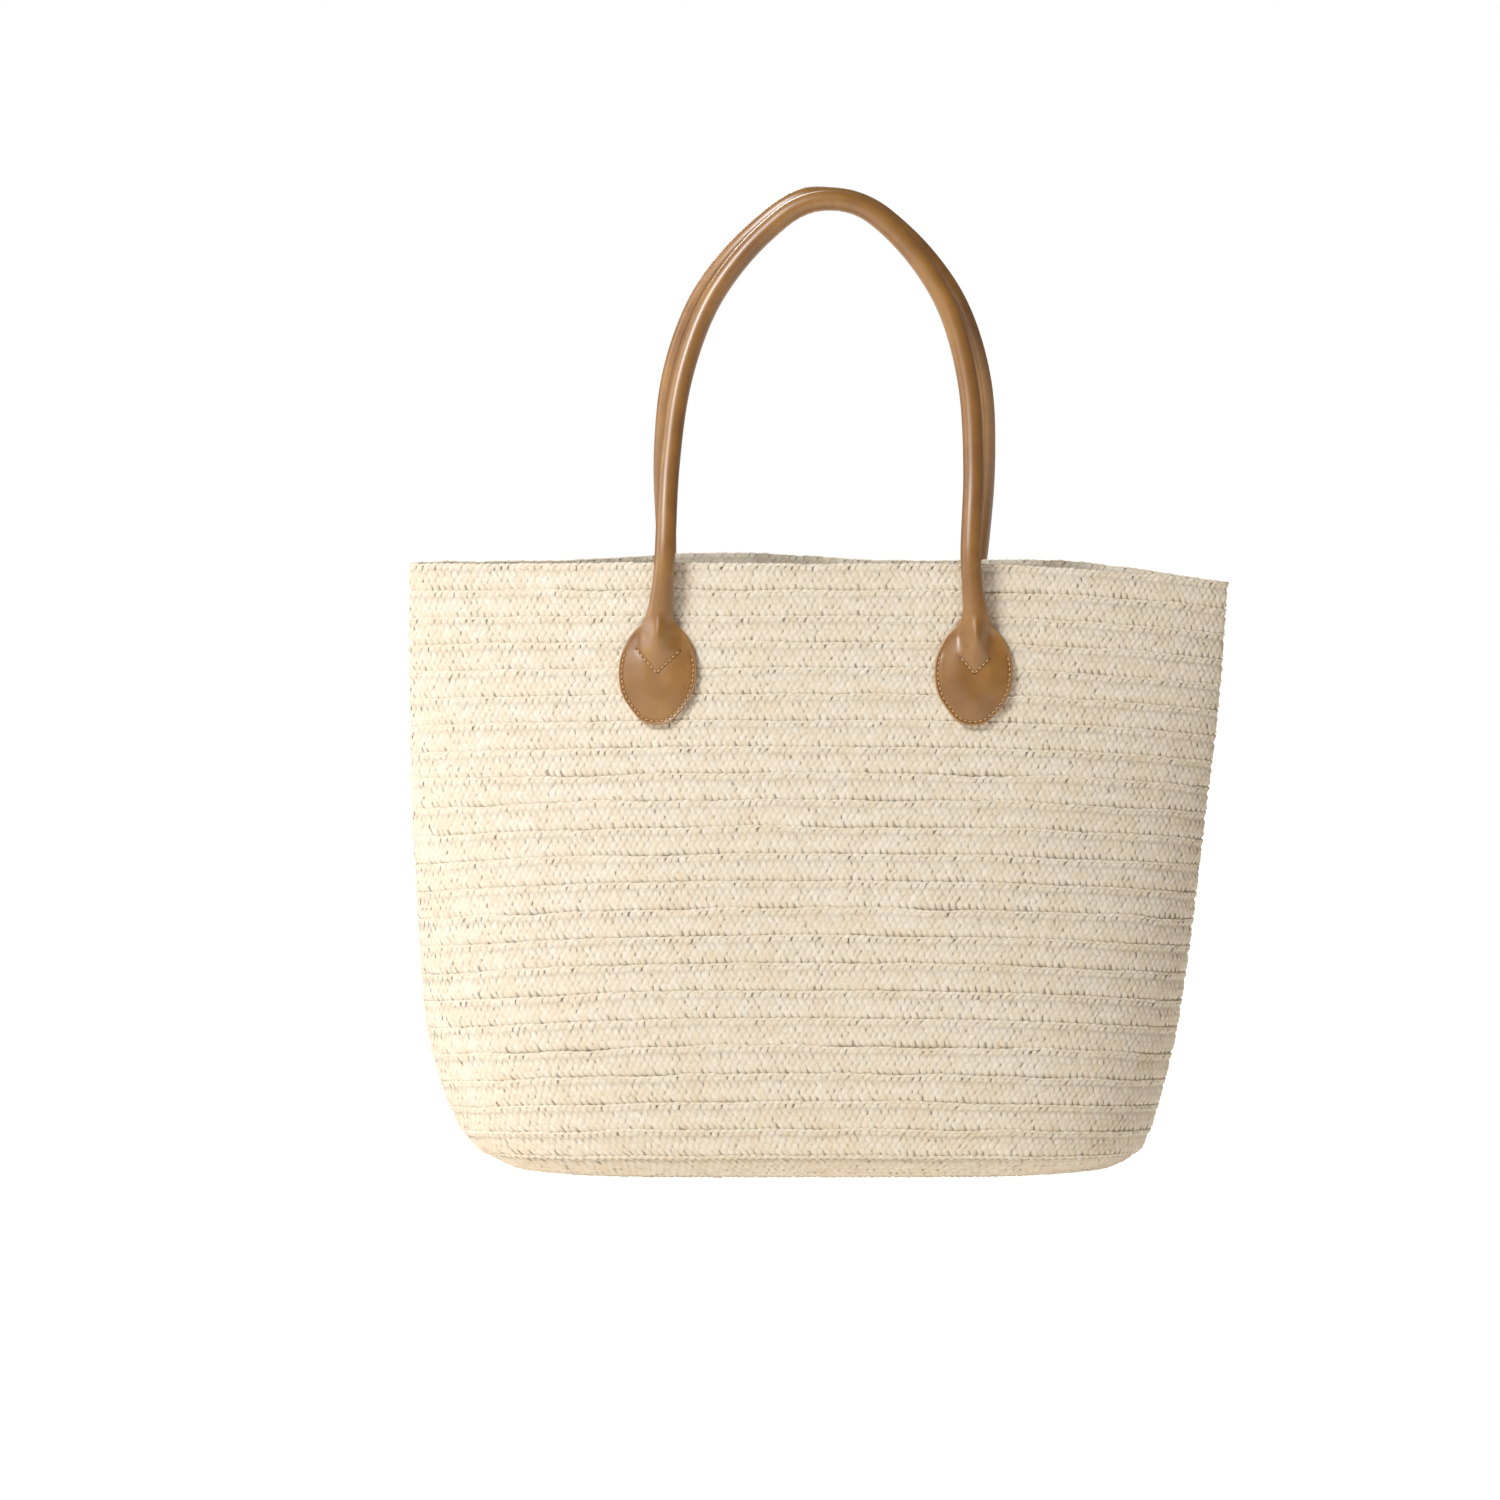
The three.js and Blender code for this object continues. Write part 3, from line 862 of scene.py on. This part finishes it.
    def leather(self):
        """The leather as one closed skin, with its seam along the side that faces the bag."""
        along = self.stations()[:, None]
        outer = np.linspace(0, math.pi, OUTER_SIDES + 1)
        turn = np.concatenate([outer, np.radians(INNER_TURNS)])[None, :]
        along, turn = np.broadcast_arrays(along, turn)
        from_tip = self.from_tip(along)
        wide = self.half_width(along)
        rise, sink = self.rise_at(along), self.sink_at(along)
        beside = wide * np.cos(turn)
        gap = self.from_edge(along, beside)
        upper = np.sin(turn) > 1e-6
        edge = np.abs(np.sin(turn)) <= 1e-6
        flat = np.where(upper, self.face(along, beside), -sink + self.bevel(gap))
        flat = np.where(edge, -sink + PAD_PLATE / 2, flat)
        pad_beside = beside - np.where(edge, PAD_FLARE * np.sign(beside), 0)
        seam = SEAM_DEEP * np.exp(-(((turn - 1.5 * math.pi) / 0.05) ** 2))
        slack = self.creases(along, turn)
        round_height = np.where(np.sin(turn) > 0, rise - slack, sink - seam - slack) * np.sin(turn)
        round_beside = (wide - slack) * np.cos(turn)
        pad = smooth_step(ROUND_FROM, PAD_FLAT_TO, from_tip)
        height = pad * flat + (1 - pad) * round_height
        beside = pad * pad_beside + (1 - pad) * round_beside
        points = self.lay(along, beside, height)
        rows, columns = along.shape
        faces = grid_faces(rows, columns, False, True)
        # The raw cut edge is paler, and the leather is darker where it is pulled in; its creases
        # are darkened with painted shade.
        cut = smooth_step(1.1 * MM, 0.2 * MM, gap) * pad
        border = np.exp(-(((gap - BORDER) / (0.7 * MM)) ** 2))
        border = border * smooth_step(BORDER_TO, BORDER_TO - 5 * MM, from_tip)
        v_line = np.exp(-((self.v_gap(along, beside) / (0.8 * MM)) ** 2))
        # The crease term here is painted shade.
        dark = np.clip(0.35 * border * pad + 0.35 * v_line * pad * upper + 0.8 * slack / MM, 0, 1)
        hide = np.stack([cut, dark, along / MM], axis=-1)
        piece = new_piece(
            self.node + "_leather",
            points.reshape(-1, 3),
            faces,
            LEATHER,
            {"hide": hide.reshape(-1, 3)},
            self.node,
        )
        self.weld(piece)

    def creases(self, along, turn):
        """Small creases across the inner side of the bend, at the top of the handle."""
        aside = self.across_at(along) * np.cos(turn)[..., None]
        radial = aside + self.out_at(along) * np.sin(turn)[..., None]
        inner = np.clip(-radial[..., 2], 0, 1) ** 1.3
        from_top = (along - self.length / 2) / MM
        near = np.exp(-((from_top / CREASE_REACH) ** 2))
        wave = np.sin(from_top * 2.05 + 1.3 * np.sin(from_top * 0.37) + 0.7 * self.side)
        other = np.sin(from_top * 1.27 + 2 * np.sin(turn * 2) + self.side)
        fold = np.clip(0.55 * wave + 0.45 * other, 0, 1) ** 1.5
        return CREASE_DEEP * inner * near * fold

    @staticmethod
    def weld(piece):
        """Joins the points that fall together at the pads' tips."""
        body = bmesh.new()
        body.from_mesh(piece.data)
        bmesh.ops.remove_doubles(body, verts=body.verts, dist=0.004 * MM)
        bmesh.ops.dissolve_degenerate(body, edges=body.edges, dist=0.002 * MM)
        bmesh.ops.recalc_face_normals(body, faces=body.faces)
        body.to_mesh(piece.data)
        body.free()

    def seams(self):
        """The places, along and beside the handle's line, where the stitches of both pads end."""
        runs = []
        for end, (v_wide, v_tall) in ((0, V_LEFT), (1, V_RIGHT)):
            for hand in (-1, 1):
                reach = math.hypot(v_wide, v_tall)
                steps = np.arange(0, reach + 0.1 * MM, STITCH) / reach
                runs.append((end, V_FOOT + steps * v_tall, hand * steps * v_wide))
            outline = self.outlines[end]
            keep = outline[:, 0] < BORDER_TO + 8 * MM
            line = outline[keep]
            way = np.gradient(line, axis=0)
            way /= np.linalg.norm(way, axis=1, keepdims=True) + 1e-12
            inward = line + BORDER * np.stack([way[:, 1], -way[:, 0]], axis=1)
            inward = inward[(inward[:, 1] > 0) & (inward[:, 0] < BORDER_TO)]
            both = np.concatenate([inward[::-1] * (1, -1), inward])
            run = np.concatenate([[0], np.cumsum(np.linalg.norm(np.diff(both, axis=0), axis=1))])
            at = np.arange(0.5 * STITCH, run[-1], STITCH)
            runs.append((end, np.interp(at, run, both[:, 0]), np.interp(at, run, both[:, 1])))
        return runs

    def stitches(self):
        """Thread between the holes of each seam, and the holes that it pulls open."""
        threads, holes = [], []
        sides, steps = 6, 5
        ring = np.arange(sides) * TURN / sides
        for end, tips, beside in self.seams():
            along = tips if end == 0 else self.length - tips
            for k in range(len(along) - 1):
                share = np.linspace(0.2, 0.8, steps)
                a = along[k] + (along[k + 1] - along[k]) * share
                b = beside[k] + (beside[k + 1] - beside[k]) * share
                arch = np.sin(share * math.pi)
                line = self.lay(a, b, self.face(a, b) + (-0.25 + 0.85 * arch**0.7) * MM)
                out = self.out_at(a)
                way = line[-1] - line[0]
                across = np.cross(out, way)
                across /= np.linalg.norm(across, axis=1, keepdims=True)
                thick = THREAD / 2 * (0.75 + 0.25 * arch)[:, None, None]
                around = np.cos(ring)[None, :, None] * across[:, None]
                around = around + np.sin(ring)[None, :, None] * out[:, None]
                threads.append((line[:, None] + thick * around).reshape(-1, 3))
            for a, b in zip(along, beside):
                a, b = np.array([a]), np.array([b])
                centre = self.lay(a, b, self.face(a, b))[0]
                across, out = self.across_at(a)[0], self.out_at(a)[0]
                ahead = np.cross(across, out)
                around = np.cos(ring)[:, None] * across + np.sin(ring)[:, None] * ahead
                rim = centre + around * HOLE_RIM + out * 0.1 * MM
                lip = centre + around * HOLE_LIP - out * 0.2 * MM
                pit = centre + around * HOLE_PIT - out * 0.1 * MM
                holes.append(np.concatenate([lip, rim, pit]))
        faces = many(grid_faces(steps, sides, False, True), len(threads), steps * sides)
        piece = new_piece(
            self.node + "_stitches", np.concatenate(threads), faces, LEATHER_THREAD, {}, self.node
        )
        faces = many(grid_faces(3, sides, False, True), len(holes), 3 * sides)
        piece = new_piece(
            self.node + "_stitch_holes", np.concatenate(holes), faces, HOLE, {}, self.node
        )


def studio():
    """A pale floor, a soft key light from the upper left, weaker ones from the left and from
    behind, and a pale fill."""
    mesh = bpy.data.meshes.new("floor")
    reach = 40  # metres, so that it fills the view behind the bag
    corners = [(-reach, -reach, 0), (reach, -reach, 0), (reach, reach, 0), (-reach, reach, 0)]
    mesh.from_pydata(corners, [], [(0, 1, 2, 3)])
    floor = bpy.data.objects.new("floor", mesh)
    bpy.context.scene.collection.objects.link(floor)
    material, tree = new_material("warm_white_sweep")
    # The floor glows a little, and more so to the eye, so it reads white as in the photograph.
    ray = add_node(tree, "ShaderNodeLightPath")
    glow = add_node(
        tree,
        "ShaderNodeMath",
        {0: ray.outputs["Is Camera Ray"], 1: 0.55, 2: 0.35},
        operation="MULTIPLY_ADD",
    )
    surface = add_node(
        tree,
        "ShaderNodeBsdfPrincipled",
        {
            "Base Color": (0.85, 0.77, 0.68, 1),
            "Roughness": 0.9,
            "Specular IOR Level": 0.2,
            "Emission Color": (1, 1, 1, 1),
            "Emission Strength": glow.outputs["Value"],
        },
    )
    add_node(tree, "ShaderNodeOutputMaterial", {"Surface": surface.outputs["BSDF"]})
    mesh.materials.append(material)

    world = bpy.data.worlds.new("studio")
    bpy.context.scene.world = world
    world.use_nodes = True
    tree = world.node_tree
    tree.nodes.clear()
    ray = add_node(tree, "ShaderNodeLightPath")
    # The fill is strong on the left and weak on the right, which gives the leather its dark side.
    place = add_node(tree, "ShaderNodeTexCoord")
    way = add_node(tree, "ShaderNodeSeparateXYZ", {"Vector": place.outputs["Generated"]})
    level = add_node(
        tree,
        "ShaderNodeMapRange",
        {
            "Value": way.outputs["X"],
            "From Min": -0.8,
            "From Max": 0.8,
            "To Min": 0.25,
            "To Max": 0.18,
        },
    )
    fill = add_node(
        tree,
        "ShaderNodeBackground",
        {"Color": (1, 0.87, 0.75, 1), "Strength": level.outputs["Result"]},
    )
    seen = add_node(tree, "ShaderNodeBackground", {"Color": (1, 1, 1, 1), "Strength": 1.0})
    either = add_node(
        tree,
        "ShaderNodeMixShader",
        {0: ray.outputs["Is Camera Ray"], 1: fill.outputs[0], 2: seen.outputs[0]},
    )
    add_node(tree, "ShaderNodeOutputWorld", {"Surface": either.outputs[0]})

    soft_box("key", wide=1.6, tall=1.6, watts=236, left=42, rise=38, far=5.5)
    soft_box("side", wide=1.0, tall=3.0, watts=37, left=92, rise=18, far=4.0)
    soft_box("back", wide=1.6, tall=1.6, watts=56, left=160, rise=35, far=4.0)


def soft_box(name, wide, tall, watts, left, rise, far):
    """A light that is left of the camera and above the floor by some degrees, aimed at the bag."""
    light = bpy.data.lights.new(name, "AREA")
    light.shape = "RECTANGLE"
    light.size = wide
    light.size_y = tall
    light.energy = watts
    light.color = LAMP_COLOUR
    lamp = bpy.data.objects.new(name, light)
    bpy.context.scene.collection.objects.link(lamp)
    turn, rise = math.radians(left), math.radians(rise)
    way = (-math.sin(turn) * math.cos(rise), -math.cos(turn) * math.cos(rise), math.sin(rise))
    lamp.location = np.array(LAMPS_AIM) + far * np.array(way)
    lamp.rotation_euler = (math.pi / 2 - rise, 0, -turn)


def camera():
    data = bpy.data.cameras.new("camera")
    data.sensor_width = SENSOR
    data.lens = SENSOR * CAMERA_DISTANCE / FRAME_WIDTH
    data.clip_end = 200
    eye = bpy.data.objects.new("camera", data)
    bpy.context.scene.collection.objects.link(eye)
    x, y, z = CAMERA_TARGET
    eye.location = (
        x,
        y - CAMERA_DISTANCE * math.cos(CAMERA_RISE),
        z + CAMERA_DISTANCE * math.sin(CAMERA_RISE),
    )
    eye.rotation_euler = (math.pi / 2 - CAMERA_RISE, 0, 0)
    bpy.context.scene.camera = eye


studio()
camera()
bpy.context.scene.view_settings.view_transform = "Standard"
straw_body()
for name, side in (("handle_front", -1), ("handle_back", 1)):
    handle = Handle(name, side)
    handle.leather()
    handle.stitches()
